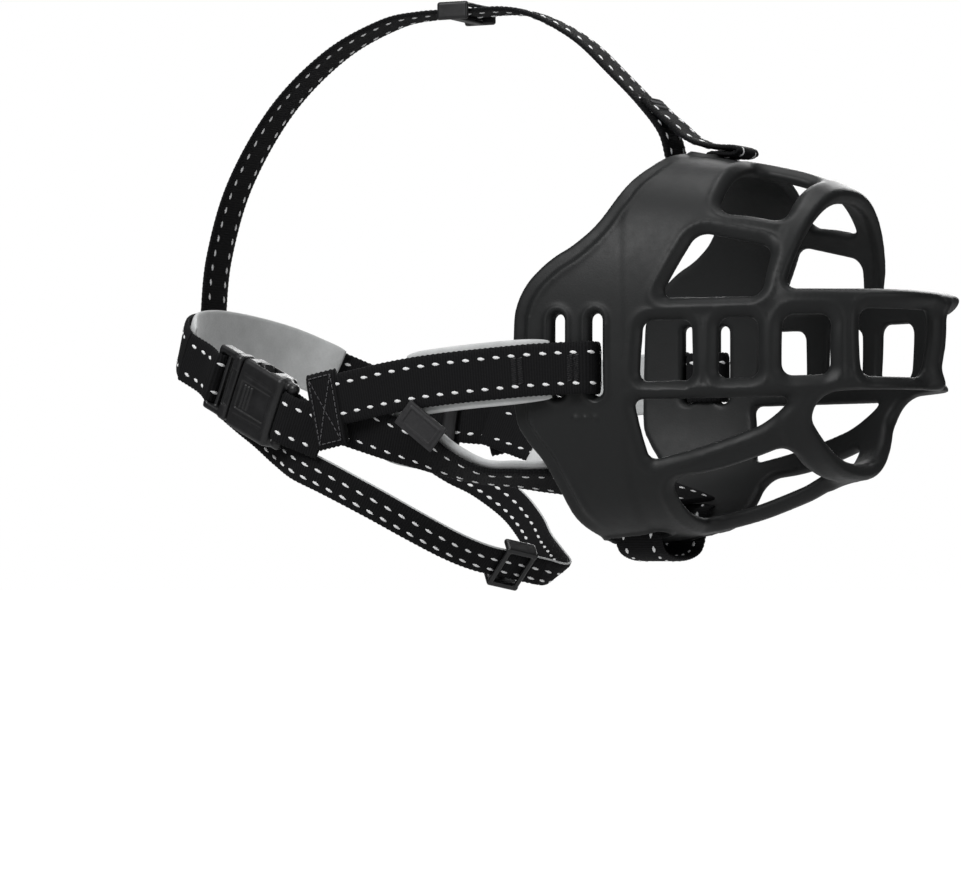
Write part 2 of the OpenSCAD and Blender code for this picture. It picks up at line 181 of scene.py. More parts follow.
def basket_windows(s):
    """Signed distances of the openings in the wall, negative inside: the windows, the open areas
    ahead of the hoops, and the webbing's slots."""
    bar = -s.at[1] + CENTRE_BAR + 0.9
    nose_rear = s.beyond(-1, 0, 0, -86) * 1.15
    # the hoops' front planes lean forward above and below, and the lower rails rise to the nose
    hoop_top = s.beyond(-1, 0, TOP_LEAN, TOP_LEAN * RAIL_TOP - HOOP_TOP_FRONT)
    hoop_low = s.beyond(-1, 0, -LOW_LEAN, -LOW_LEAN * RAIL_BOTTOM - HOOP_LOW_FRONT)
    under_rail = s.beyond(-RAIL_RISE, 0, 1, RAIL_BOTTOM + LOW_RAIL_UNDER - RAIL_RISE * RAIL_X)
    windows = [
        # small windows between the side rails
        rounded(s.edges([(20.8, -12.9), (37.8, -12.6), (37.4, 5.6), (22.2, 5.6)]), 3.0),
        rounded(s.edges([(45.4, -12.2), (58.0, -11.9), (58.0, 6.0), (46.0, 6.0)]), 3.0),
        rounded(s.edges([(64.8, -11.6), (78.2, -11.2), (78.8, 6.8), (65.4, 6.8)]), 3.4),
        # upper rear and lower rear windows
        rounded(s.edges([(27.4, 12.4), (59.0, 12.4), (60.4, 27.6), (37.6, 32.6)]), 3.6),
        rounded(s.edges([(18.8, -18.4), (21.8, -37.0), (46, -31.2), (60, -25.2), (67, -17.9)]), 2.6),
        # nose window, from the front post round to the front bar
        rounded([nose_rear, bar, s.beyond(0, 0, 1, 8.6), s.beyond(0, 0, -1, 11.6)], 3.2),
        # top and bottom windows beside the centre bars
        rounded(s.edges([(41.8, 4.0), (61.8, 4.0), (61.8, 30.8), (42.4, 36.6)], plan=True)
                + [s.beyond(0, 0, -1, 0)], 4.5),
        rounded(s.edges([(26.2, 4.0), (66.5, 4.0), (62.8, 30.6), (45, 35.4), (26.8, 37.2)], plan=True)
                + [s.beyond(0, 0, 1, 0)], 5.0),
    ]
    # open ahead of the hoops, above and below the side rails
    ahead = [rounded([hoop_top, s.beyond(0, 0, -1, -RAIL_TOP)], 4.0),
             rounded([hoop_low, under_rail], 13.0)]
    slots = [rounded(s.edges([(x - SLOT_HALF, SLOT_LOW), (x + SLOT_HALF, SLOT_LOW),
                              (x + SLOT_HALF, SLOT_HIGH), (x - SLOT_HALF, SLOT_HIGH)]), SLOT_R)
             for x in SLOT_XS]
    # the forehead webbing's slot on top, and the chin webbing's underneath, which mirroring makes two
    slots.append(rounded([s.beyond(1, 0, 0, 26.7), s.beyond(-1, 0, 0, -22.3),
                          s.beyond(0, 1, 0, 10), s.beyond(0, 0, -1, 0)], 2.1))
    slots.append(rounded([s.beyond(0, 1, 0, 19.2), s.beyond(0, -1, 0, -14.8),
                          s.beyond(1, 0, 0, 15.7), s.beyond(-1, 0, 0, 2.7),
                          s.beyond(0, 0, 1, 0)], 2.1))
    return windows, ahead, slots


def edge_profile(s, edge, slots, rim):
    """How much the wall stands out past its plain outer face."""
    x, _, z = s.at
    # thinner beside the rear rim, with a low bead ahead of that
    side = 1 - ramp(np.abs(z), 46, 56)
    extra = -1.25 * (1 - ramp(-rim, 4.2, 6.0)) * side + 0.35 * bump(-rim, 6.4, 1.0) * side
    # the collar stands out a little behind a soft crease, and round every slot
    crease = x - 17 + 0.0016 * (z + 6) ** 2
    extra = extra + 0.45 * (1 - ramp(crease, -1.6, 1.6)) - 0.15
    for slot in slots:
        extra = extra + 0.75 * bump(slot, 1.7, 0.9)
    # the side rails thicken towards the nose, and the hoops and the windows' lips stand out
    low_rail = RAIL_BOTTOM + RAIL_RISE * (x - RAIL_X) + LOW_RAIL_MIDDLE
    rails = bump(z, RAIL_TOP - TOP_RAIL_MIDDLE, RAIL_SPREAD) + 1.7 * bump(z, low_rail, RAIL_SPREAD)
    extra = extra + rails * (0.5 * ramp(x, 24, 40) + 1.6 * ramp(x, 76, 97))
    hoops = ramp(x, HOOP_REAR - 1, HOOP_REAR + 1.5) * ramp(np.abs(z), 17, 24)
    extra = extra + 0.9 * hoops + 0.4 * bump(edge, -1.8, 1.0) * ramp(x, 14, 22) * (1 - hoops)
    for k in range(3):
        dot = np.sqrt((x - (DOT_X + DOT_STEP * k)) ** 2 + (z - DOT_Z) ** 2)
        extra = extra + 0.5 * (1 - ramp(dot, 0.7, 1.3))
    return extra


def basket_mesh():
    s = Shell()
    windows, ahead, slots = basket_windows(s)
    # only the windows are chamfered
    chamfer = 0.55 * np.maximum(s.depth, 0)
    edge = chamfer - windows[0]
    for hole in windows[1:]:
        edge = np.maximum(edge, chamfer - hole)
    for hole in ahead + slots:
        edge = np.maximum(edge, -hole)
    rim_line = smooth_curve(RIM, 5)
    rim = outline_distance(s.at[0], s.at[2], rim_line)
    stand = edge_profile(s, edge, slots, rim)
    edge = np.maximum(edge, rim)
    half = WALL / 2 + stand / 2
    depth = s.depth - stand / 2
    radius = np.minimum(1.9 + 0.7 * ramp(s.at[0], 70, 92), half - 0.1)
    a, b = edge + radius, np.abs(depth) - half + radius
    wall = np.minimum(np.maximum(a, b), 0) + np.hypot(np.maximum(a, 0), np.maximum(b, 0)) - radius
    grid = np.full(s.shape, 3.0, np.float32)
    grid[s.near] = np.clip(wall, -3, 3)
    whole = np.concatenate([grid[:, :0:-1], grid], axis=1)
    volume = openvdb.FloatGrid()
    volume.background = 3.0
    volume.copyFromArray(np.ascontiguousarray(whole))
    points, quads = volume.convertToQuads(0.0)
    origin = np.array([s.xs[0], -s.ys[-1], s.zs[0]])
    return (points * VOXEL + origin) * MM, quads


# ---------------------------------------------------------------- materials
class Nodes:
    """A node material under construction."""

    def __init__(self, name):
        self.material = bpy.data.materials.new(name)
        self.material.use_nodes = True
        self.tree = self.material.node_tree
        self.shader = self.tree.nodes["Principled BSDF"]

    def feed(self, socket, value):
        """Links the value if it is another node's output, and sets it otherwise."""
        if isinstance(value, bpy.types.NodeSocket):
            self.tree.links.new(value, socket)
        else:
            socket.default_value = value

    def add(self, kind, settings=None, **inputs):
        node = self.tree.nodes.new(kind)
        for key, value in (settings or {}).items():
            setattr(node, key, value)
        for key, value in inputs.items():
            self.feed(node.inputs[key.replace("_", " ")], value)
        return node

    def set(self, **inputs):
        for key, value in inputs.items():
            self.feed(self.shader.inputs[key.replace("_", " ")], value)

    def place(self):
        return self.add("ShaderNodeTexCoord").outputs["Object"]

    def strap(self):
        return self.add("ShaderNodeUVMap", {"uv_map": STRAP_UV}).outputs["UV"]

    def noise(self, where, scale, detail=3.0, roughness=0.55):
        node = self.add("ShaderNodeTexNoise", Vector=where, Scale=scale, Detail=detail,
                        Roughness=roughness)
        return node.outputs["Fac"]

    def wave(self, where, pitch, axis="X", distortion=0.0):
        node = self.add("ShaderNodeTexWave", {"bands_direction": axis}, Vector=where,
                        Scale=math.tau / 20 / pitch, Distortion=distortion)
        return node.outputs["Fac"]

    def spread(self, value, low, high):
        """Maps the value's middle range onto low to high."""
        node = self.add("ShaderNodeMapRange", Value=value, From_Min=0.3, From_Max=0.7,
                        To_Min=low, To_Max=high)
        return node.outputs["Result"]

    def colours(self, value, first, last, start=0.3, end=0.7):
        node = self.add("ShaderNodeValToRGB", Fac=value)
        ramp_ends = node.color_ramp.elements
        ramp_ends[0].position, ramp_ends[0].color = start, (*first, 1)
        ramp_ends[1].position, ramp_ends[1].color = end, (*last, 1)
        return node.outputs["Color"]

    def mix(self, kind, a, b):
        node = self.add("ShaderNodeMath", {"operation": kind})
        self.feed(node.inputs[0], a)
        self.feed(node.inputs[1], b)
        return node.outputs[0]

    def bump(self, height, depth, strength=1.0, under=None):
        inputs = {"Height": height, "Distance": depth, "Strength": strength}
        if under is not None:
            inputs["Normal"] = under
        return self.add("ShaderNodeBump", **inputs).outputs["Normal"]


STRAP_UV = "strap"


def rubber_material():
    m = Nodes("moulded_rubber")
    where = m.place()
    cloud = m.noise(where, 38, 4)
    grain = m.noise(where, 1900, 2)
    scuff = m.noise(where, 260, 6, 0.7)
    # this value is always past the end of the colours' range, so the lighter colour shows throughout
    m.set(Base_Color=m.colours(m.mix("MULTIPLY_ADD", scuff, 0.45), (0.0050, 0.0054, 0.0056),
                               (0.012, 0.0127, 0.0130), 0.1, 0.42),
          Roughness=m.spread(m.mix("ADD", m.mix("MULTIPLY", cloud, 0.6), m.mix("MULTIPLY", scuff, 0.4)),
                             0.40, 0.60),
          Specular_IOR_Level=0.26,
          Normal=m.bump(grain, 0.00005, 0.5, m.bump(cloud, 0.0006, 0.35)))
    return m.material


def webbing_material():
    m = Nodes("ribbed_webbing")
    where = m.strap()
    rib = m.wave(where, RIB_PITCH)
    thread = m.wave(where, 0.42, "Y", 0.6)
    fuzz = m.noise(m.place(), 1500, 4, 0.7)
    shade = m.mix("ADD", m.mix("MULTIPLY", rib, 0.45), m.mix("MULTIPLY", fuzz, 0.55))
    height = m.mix("ADD", m.mix("MULTIPLY", rib, 0.5), m.mix("MULTIPLY", thread, 0.5))
    m.set(Base_Color=m.colours(shade, (0.002, 0.002, 0.0022), (0.0085, 0.0085, 0.0095), 0.2, 0.75),
          Roughness=m.spread(fuzz, 0.72, 0.92),
          Specular_IOR_Level=0.15, Sheen_Weight=0.02, Sheen_Roughness=0.4,
          Normal=m.bump(height, 0.00014, 0.8, m.bump(fuzz, 0.0001, 0.5)))
    return m.material


def thread_material():
    m = Nodes("reflective_thread")
    strand = m.wave(m.strap(), 0.34, "DIAGONAL", 0.8)
    fuzz = m.noise(m.place(), 2200, 3)
    m.set(Base_Color=m.colours(strand, (0.72, 0.73, 0.74), (0.93, 0.93, 0.93), 0.1, 0.7),
          Roughness=m.spread(fuzz, 0.42, 0.62), Specular_IOR_Level=0.6,
          Normal=m.bump(strand, 0.00008, 0.7))
    return m.material


def stitch_material():
    m = Nodes("black_thread")
    strand = m.wave(m.place(), 0.0004, "DIAGONAL", 1.5)
    m.set(Base_Color=m.colours(strand, (0.035, 0.035, 0.038), (0.11, 0.11, 0.115), 0.2, 0.8),
          Roughness=m.spread(m.noise(m.place(), 900), 0.45, 0.65),
          Normal=m.bump(strand, 0.00005, 0.6))
    return m.material


def lining_material():
    m = Nodes("brushed_lining")
    where = m.place()
    nap = m.noise(where, 1400, 5, 0.75)
    tone = m.noise(where, 120, 3)
    m.set(Base_Color=m.colours(m.mix("ADD", m.mix("MULTIPLY", nap, 0.4), m.mix("MULTIPLY", tone, 0.6)),
                               (0.46, 0.47, 0.47), (0.64, 0.65, 0.65)),
          Roughness=m.spread(nap, 0.82, 0.96), Specular_IOR_Level=0.25,
          Sheen_Weight=0.35, Sheen_Roughness=0.5,
          Normal=m.bump(nap, 0.00018, 0.7, m.bump(tone, 0.0004, 0.4)))
    return m.material


def plastic_material():
    m = Nodes("moulded_plastic")
    where = m.place()
    grain = m.noise(where, 3200, 3, 0.6)
    wear = m.noise(where, 160, 5, 0.65)
    m.set(Base_Color=m.colours(wear, (0.005, 0.005, 0.0055), (0.011, 0.011, 0.012)),
          Roughness=m.spread(m.mix("ADD", m.mix("MULTIPLY", grain, 0.5), m.mix("MULTIPLY", wear, 0.5)),
                             0.28, 0.50),
          Normal=m.bump(grain, 0.00003, 0.6, m.bump(wear, 0.0002, 0.25)))
    return m.material


def tag_material():
    m = Nodes("soft_tag")
    where = m.place()
    fine = m.noise(where, 1100, 4, 0.7)
    m.set(Base_Color=m.colours(fine, (0.008, 0.008, 0.0095), (0.021, 0.0205, 0.022)),
          Roughness=m.spread(fine, 0.45, 0.66), Normal=m.bump(fine, 0.0001, 0.6))
    return m.material


# ---------------------------------------------------------------- mesh building
class Build:
    """Collects surfaces for one piece: vertices in millimetres, faces, materials, strap coordinates."""

    def __init__(self):
        self.verts, self.faces, self.kinds, self.uvs = [], [], [], []
        self.count = 0

    def add(self, points, faces, uv=None, kind=0):
        points = np.asarray(points, float).reshape(-1, 3)
        faces = np.asarray(faces, int)
        uv = points[:, :2] if uv is None else np.asarray(uv, float).reshape(-1, 2)
        self.verts.append(points)
        self.uvs.append(uv)
        self.faces.append(faces + self.count)
        self.kinds.append(np.full(len(faces), kind))
        self.count += len(points)

    def rings(self, points, uv=None, kind=0):
        """Closed skin over points[ring, place round it, 3], with both ends capped."""
        n, m = points.shape[:2]
        i = np.arange(n - 1)[:, None] * m
        j = np.arange(m)[None, :]
        k = (j + 1) % m
        quads = np.stack([i + j, i + k, i + m + k, i + m + j], -1).reshape(-1, 4)
        self.add(points, quads, uv, kind)
        cap = np.array([(a, a + 1, m - 2 - a, m - 1 - a) for a in range(m // 2 - 1)])
        for end, way in ((0, 1), (-1, -1)):
            self.add(points[end], cap[:, ::way], None if uv is None else uv[end], kind)

    def piece(self, name, materials):
        verts = np.vstack(self.verts) * MM
        faces = np.vstack(self.faces)
        mesh = bpy.data.meshes.new(name)
        mesh.from_pydata(verts.tolist(), [], faces.tolist())
        mesh.polygons.foreach_set("material_index", np.concatenate(self.kinds).astype(np.int32))
        mesh.polygons.foreach_set("use_smooth", np.ones(len(faces), bool))
        layer = mesh.uv_layers.new(name=STRAP_UV)
        loops = np.zeros(len(mesh.loops), np.int32)
        mesh.loops.foreach_get("vertex_index", loops)
        layer.data.foreach_set("uv", np.vstack(self.uvs)[loops].ravel())
        for material in materials:
            mesh.materials.append(material)
        made = bpy.data.objects.new(name, mesh)
        bpy.context.scene.collection.objects.link(made)
        weld = bmesh.new()
        weld.from_mesh(mesh)
        bmesh.ops.remove_doubles(weld, verts=weld.verts, dist=1e-7)
        bmesh.ops.recalc_face_normals(weld, faces=weld.faces)
        weld.to_mesh(mesh)
        weld.free()
        return made


def unit(v):
    return v / np.linalg.norm(v, axis=-1, keepdims=True)


class Route:
    """The line a strap follows. Each station is x, y, z, then the way its outer face looks."""

    def __init__(self, stations, step):
        fine = smooth_curve(stations, 24)
        gaps = np.linalg.norm(np.diff(fine[:, :3], axis=0), axis=1)
        along = np.concatenate([[0], np.cumsum(gaps)])
        self.length = along[-1]
        self.s = np.linspace(0, self.length, max(int(self.length / step), 6) + 1)
        rows = np.stack([np.interp(self.s, along, fine[:, k]) for k in range(6)], 1)
        self.p = rows[:, :3]
        self.t = unit(np.gradient(self.p, axis=0))
        face = rows[:, 3:]
        self.out = unit(face - self.t * np.sum(face * self.t, 1, keepdims=True))
        self.across = np.cross(self.t, self.out)

    def at(self, s, v, h):
        """Points at arc lengths s, offsets v across and heights h off the line."""
        s, v, h = np.broadcast_arrays(s, v, h)
        pick = [np.stack([np.interp(s, self.s, a[:, k]) for k in range(3)], -1)
                for a in (self.p, self.across, self.out)]
        return pick[0] + pick[1] * v[..., None] + pick[2] * h[..., None]


RIB_STEP = RIB_PITCH / 4
# What a strap's faces are made of, in the order of its materials
STRAP_MATERIALS = ("webbing", "thread", "stitch", "lining")
WEBBING, THREAD, STITCH, LINING = range(4)
STITCH_R = 0.17


def weave(s, v, row):
    """Height of the webbing's surface: cross ribs between the dash rows, coarse woven edges."""
    middle = np.cos(math.tau * s / RIB_PITCH) * 0.085
    side = np.cos(math.tau * s / (RIB_PITCH * 2) + np.round(np.abs(v) / 0.9) * math.pi) * 0.12
    edge = ramp(np.abs(v), row + 0.5, row + 1.0)
    return middle * (1 - edge) + side * edge


def webbing(build, route, width, row, thick=WEB_T):
    """A woven strap along the route, rounded at its edges, with dash rows at +row and -row."""
    s = np.linspace(0, route.length, max(int(route.length / RIB_STEP), 4) + 1)[:, None]
    half = width / 2
    inner = np.array([0, 0.2, 0.7, 1.3, 1.9, 2.5, 3.2, 4.2])
    inner = inner[inner < half - 1.0]
    v = np.concatenate([-half + inner, [0.0], half - inner[::-1]])
    body = np.sqrt(np.maximum(1 - (np.abs(v) / half) ** 7, 0))
    loop_v = np.concatenate([v, v[-2:0:-1]])[None, :]
    face = np.concatenate([np.ones(len(v)), -np.ones(len(v) - 2)])[None, :]
    full = np.concatenate([body, body[-2:0:-1]])[None, :]
    ripple = weave(s, loop_v, row)
    h = face * full * (thick / 2 + ripple)
    wobble = 1 + 0.012 * np.cos(math.tau * s / (RIB_PITCH * 2)) * (np.abs(loop_v) > half - 0.8)
    points = route.at(s, loop_v * wobble, h)
    uv = np.stack(np.broadcast_arrays(s, loop_v), -1)
    build.rings(points, uv, WEBBING)


def dashes(build, route, rows, start, length=DASH_LENGTH, width=DASH_WIDTH):
    """Raised lens-shaped stitches of pale thread along each row, on both faces of the strap."""
    along, over = 9, 7
    u = np.linspace(-1, 1, along)[None, :, None]
    q = np.linspace(-1, 1, over)[None, None, :]
    grid = np.arange(along * over).reshape(along, over)
    quads = np.stack([grid[:-1, :-1], grid[:-1, 1:], grid[1:, 1:], grid[1:, :-1]], -1)
    quads = quads.reshape(-1, 4)
    for face in (1, -1):
        for n, row in enumerate(rows):
            first = start + (0.0 if face > 0 else DASH_PITCH / 2) + 0.12 * DASH_PITCH * n
            s0 = np.arange(first, route.length - 1.5, DASH_PITCH)[:, None, None]
            if not len(s0):
                continue
            lens = np.maximum(1 - np.abs(u + 0.12 * (1 - u * u)) ** 1.7, 0) ** 0.75
            slope = 0.16 * u
            v = row + slope + q * lens * width / 2
            dome = np.sqrt(np.maximum(1 - q * q, 0)) * lens ** 0.6
            h = face * (WEB_T / 2 - 0.12 + 0.42 * dome)
            s = s0 + u * length / 2
            points = route.at(s, v, np.broadcast_to(h, np.broadcast(s, v).shape))
            firsts = np.arange(len(s0))[:, None, None] * along * over
            uv = np.stack(np.broadcast_arrays(s, v), -1)
            build.add(points, (firsts + quads[None]).reshape(-1, 4), uv, THREAD)


def cord(build, points, radius, kind, sides=6):
    """A thin round thread through the points."""
    p = np.asarray(points, float)
    t = unit(np.gradient(p, axis=0))
    helper = np.where(np.abs(t[:, 2:3]) < 0.8, [[0.0, 0, 1]], [[0.0, 1, 0]])
    a = unit(np.cross(t, helper))
    b = np.cross(t, a)
    turn = np.arange(sides)[None, :, None] * math.tau / sides
    ring = p[:, None] + radius * (np.cos(turn) * a[:, None] + np.sin(turn) * b[:, None])
    build.rings(ring, None, kind)


def double_tack(build, route, start, reach, h):
    """Two bar tacks, each a thread that zigzags along the strap while it goes across it."""
    pitch, long, gap = 0.55, 1.5, 2.0
    v = np.arange(-reach, reach, pitch / 2)
    for s in (start, start + gap):
        path = route.at(np.where(np.arange(len(v)) % 2, s, s + long), v, h)
        cord(build, path, STITCH_R, STITCH)


def seam(build, route, line, h, stitch=2.3):
    """Short raised stitches along a line of (s, v) places on the strap."""
    line = np.asarray(line, float)
    gaps = np.concatenate([[0], np.cumsum(np.linalg.norm(np.diff(line, axis=0), axis=1))])
    rise = 0.22 * np.sin(np.linspace(0, math.pi, 5))
    for a in np.arange(0, gaps[-1] - stitch * 0.6, stitch):
        d = np.linspace(a, a + stitch * 0.72, 5)
        s, v = (np.interp(d, gaps, line[:, k]) for k in (0, 1))
        cord(build, route.at(s, v, h - 0.14 + rise), STITCH_R, STITCH)


def box_seam(build, route, s, length, reach):
    """A sewn box with one diagonal."""
    e = s + length
    line = [(s, -reach), (s, reach), (e, reach), (e, -reach), (s, -reach), (e, reach)]
    seam(build, route, line, WEB_T / 2 + 0.1)


def padding(build, route, width, thick, lift, taper):
    """A soft lining: crowned, with rolled edges, a sewn channel near each edge and thinned ends."""
    s = np.arange(0, route.length, 0.8)[:, None]
    ends = np.clip(np.minimum(s / taper[0], (route.length - s) / taper[1]), 0, 1)
    shape = 0.35 + 0.65 * np.sqrt(1 - (1 - ends) ** 2)
    a = (np.arange(40) * math.tau / 40)[None, :]
    c, d = np.cos(a), np.sin(a)
    v = np.sign(c) * np.abs(c) ** 0.62 * width / 2 * (0.8 + 0.2 * shape)
    channel = 0.16 * bump(np.abs(v), width / 2 - 2.0, 0.45)
    puff = 0.05 * np.sin(s * 1.15 + 2 * np.sign(v)) * (np.abs(v) > width / 2 - 2)
    h = lift + np.sign(d) * np.abs(d) ** 0.75 * np.maximum(thick / 2 * shape + puff - channel, 0.2)
    build.rings(route.at(s, v, h), np.stack(np.broadcast_arrays(s, v), -1), 0)


# ---------------------------------------------------------------- moulded plastic parts
class Mould:
    """A small moulded part drawn as a distance field in its own frame."""

    def __init__(self, low, high, voxel=0.24):
        self.voxel = voxel
        axes = [np.arange(a - 1, b + 1, voxel, dtype=np.float32) for a, b in zip(low, high)]
        self.low = np.array([axis[0] for axis in axes])
        self.x, self.y, self.z = np.meshgrid(*axes, indexing="ij")
        self.d = np.full(self.x.shape, 9.0, np.float32)

    def box(self, low, high, r=0.6):
        gaps = [np.abs(c - (a + b) / 2) - (b - a) / 2 + r
                for c, a, b in zip((self.x, self.y, self.z), low, high)]
        outside = np.sqrt(sum(np.maximum(g, 0) ** 2 for g in gaps))
        return outside + np.minimum(np.maximum.reduce(gaps), 0) - r

    def rod(self, a, b, r):
        a, b = np.asarray(a, float), np.asarray(b, float)
        d = b - a
        rel = [self.x - a[0], self.y - a[1], self.z - a[2]]
        t = np.clip(sum(g * k for g, k in zip(rel, d)) / (d @ d), 0, 1)
        return np.sqrt(sum((g - t * k) ** 2 for g, k in zip(rel, d))) - r

    def join(self, other, soft=0.5):
        h = np.clip(0.5 + 0.5 * (self.d - other) / soft, 0, 1)
        self.d = self.d * (1 - h) + other * h - soft * h * (1 - h)

    def cut(self, other, soft=0.3):
        self.d = -self.d
        self.join(other, soft)
        self.d = -self.d

    def piece(self, name, place, material):
        """Meshes the part and puts it where place, a (origin, x, y, z) frame, says."""
        volume = openvdb.FloatGrid()
        volume.background = 3.0
        volume.copyFromArray(np.ascontiguousarray(np.clip(self.d / self.voxel, -3, 3)))
        points, quads = volume.convertToQuads(0.0)
        points = points * self.voxel + self.low
        origin, *axes = place
        build = Build()
        build.add(origin + points @ np.array(axes), quads[:, ::-1])
        return build.piece(name, [material])


def local_frame(a, b, face):
    """Frame at a: x towards b, y near the outward face, z across."""
    a, b = np.array(a, float), np.array(b, float)
    u = unit(b - a)
    face = np.array(face, float)
    v = unit(face - u * (face @ u))
    return a, u, v, np.cross(u, v)


def to_place(place, rows):
    """Stations given in a local frame, in the row frame."""
    origin, *axes = place
    axes = np.array(axes)
    rows = np.asarray(rows, float)
    return np.hstack([origin + rows[:, :3] @ axes, rows[:, 3:] @ axes])


BUCKLE = local_frame((-94, -57.8, -23.6), (-139, -45, -3), (-0.25, -1, 0))
BUCKLE_W, BUCKLE_T, SOCKET_END, PLUG_X = 23.0, 8.4, 24.0, 25.0
ARM_ROOT = 23.7
# Where the webbing behind the plug is held, along the buckle
SLACK_END = 52.4
THROAT_SLIDER = local_frame((-39, -14.15, -68.9), (-33, -6, -71), (0.6, -0.6, -0.8))
FOREHEAD_SLIDER = local_frame((-62, 0, 108.1), (-72, 0, 108.1), (0, 0, 1))
KEEPER = local_frame((-97, 58.35, -20.2), (-90, 58.7, -21.3), (0, 1, 0))


def socket_mould():
    half, deep = BUCKLE_W / 2, BUCKLE_T / 2
    m = Mould((1, -deep, -half), (SOCKET_END, deep, half))
    crown = 0.35 * (1 - (m.z / half) ** 2)
    m.join(m.box((5, -deep, -half), (SOCKET_END, deep - 0.35, half), 1.7) - crown * (m.y > 0), 0.2)
    # the bar that the webbing goes round, and its two ends
    for end in (-1, 1):
        corner = (2.7, 0, end * (half - 2.2))
        m.join(m.rod((2.7, 0, 0), corner, 1.35))
        m.join(m.rod(corner, (7, 0, end * (half - 1.8)), 1.6), 1.2)
    m.cut(m.box((8.5, -2.7, -half + 2.4), (SOCKET_END + 3, 2.7, half - 2.4), 0.8))
    m.cut(m.box((11, -2.7, -half - 2), (19.2, 2.7, half + 2), 0.9))
    # on both faces, a sunk centre panel, a groove on each side of it and three grip ribs
    for y in (deep, -deep):
        m.cut(m.box((7.6, y - 0.35, -4.6), (SOCKET_END - 2.6, y + 0.9, 4.6), 0.35))
        for z in (-6.4, 6.4):
            m.cut(m.rod((7.8, y + 0.25, z), (SOCKET_END - 3, y + 0.25, z * 1.06), 0.5))
        for x in (SOCKET_END - 7.4, SOCKET_END - 5.9, SOCKET_END - 4.4):
            m.join(m.rod((x, y - 0.35, -3.4), (x, y - 0.35, 3.4), 0.42), 0.2)
    return m


def plug_mould():
    half = BUCKLE_W / 2
    m = Mould((9, -3.4, -half), (PLUG_X + 12, 3.4, half))
    m.join(m.box((PLUG_X, -3.4, -half + 0.5), (PLUG_X + 4, 3.4, half - 0.5), 1.3))
    for end in (-1, 1):
        middle = end * (half - 1.9)
        m.join(m.box((PLUG_X + 2, -2.4, middle - 1.2), (PLUG_X + 12, 2.4, middle + 1.2), 1.0))
    m.join(m.box((PLUG_X + 6.4, -1.6, -half + 2), (PLUG_X + 8, 1.6, half - 2), 0.7))
    m.join(m.box((PLUG_X + 10.2, -2.2, -half + 2), (PLUG_X + 12, 2.2, half - 2), 0.85), 0.8)
    m.join(m.box((10, -1.5, -1.4), (PLUG_X + 1, 1.5, 1.4), 0.6), 0.5)
    m.cut(m.box((PLUG_X + 0.9, 2.7, -6), (PLUG_X + 3, 4.5, 6), 0.3))
    return m


def arm_mould():
    half = BUCKLE_W / 2
    m = Mould((12.6, -2.4, 4.8), (ARM_ROOT + 1.2, 2.4, half + 1.2))
    wide = 2.05
    m.join(m.box((13.4, -wide, 5.6), (ARM_ROOT + 0.9, wide, 7.5), 0.7))
    head = m.box((13, -wide, 5.6), (18.4, wide, half + 0.55), 0.8)
    slope = ((m.z - 9.0) - (m.x - 13) * 0.92) * 0.74
    m.join(np.maximum(head, slope), 0.5)
    for x in (15.9, 17.0):
        m.cut(m.rod((x, -3, half + 0.75), (x, 3, half + 0.75), 0.34), 0.15)
    return m


def slider_mould(width):
    half, side = width / 2, 2.6
    m = Mould((-5.5, -3, -half - side), (5.5, 3, half + side))
    for z in (-1, 1):
        middle = z * (half + side - 0.95)
        m.join(m.box((-5.5, -2.9, middle - 0.95), (5.5, 2.9, middle + 0.95), 0.9))
    for x in (-4.45, 4.45):
        m.join(m.rod((x, 2.0, -half - 1), (x, 2.0, half + 1), 0.72) - 0.12, 0.5)
    m.join(m.box((-1.5, -2.9, -half - 1), (1.5, -1.45, half + 1), 0.6), 0.5)
    return m


def keeper_mould():
    reach, thick = WEB_W / 2 + 0.8, WEB_T / 2 + 1.1
    m = Mould((-2.5, -thick - 1.4, -reach - 1.4), (2.5, thick + 1.4, reach + 1.4))
    m.join(m.box((-2.5, -thick - 1.4, -reach - 1.4), (2.5, thick + 1.4, reach + 1.4), 1.2))
    m.cut(m.box((-6, -thick, -reach), (6, thick, reach), 0.6))
    m.cut(m.rod((0, thick + 1.75, -reach + 1), (0, thick + 1.75, reach - 1), 0.6))
    return m


# ---------------------------------------------------------------- routes
# These start from the CAD model's routes. The jaw and throat webbing are moved by up to 5 mm to follow
# the photograph, and the nape webbing starts farther back, so that the plug clears it.
CHEEK = [(-79, -60, -18, 0, -1, 0), (-58, -60.3, -14, 0, -1, 0), (-40, -59.5, -11.6, 0, -1, 0),
         (-15, -56, -9.4, 0, -1, 0), (-4, -54, -8.8, 0, -1, 0), (1.5, -53.4, -8.6, 0, -1, 0),
         (5.4, -52.6, -8.5, 0.5, -0.9, 0), (7, -50.3, -8.5, 1, -0.2, 0), (7.1, -47.6, -8.5, 1, 0.2, 0),
         (6.1, -44.9, -8.5, 0.6, 0.9, 0), (3, -44, -8.5, 0, 1, 0), (-0.8, -44.2, -8.6, -0.1, 1, 0),
         (-4.0, -45.5, -8.7, -0.8, 0.6, 0), (-5.2, -48, -8.8, -1, 0, 0), (-6, -50.4, -8.9, -0.9, 0.5, 0),
         (-9, -51.9, -9.1, -0.2, 1, 0), (-14, -53.3, -9.4, 0, 1, 0), (-20, -54.6, -9.8, 0, 1, 0)]
CHEEK_LINED = [(-6, -54.1, -8.9, 0, -1, 0), (-15, -56, -9.4, 0, -1, 0), (-36, -59.1, -11.2, 0, -1, 0),
               (-52, -60, -13.1, 0, -1, 0)]
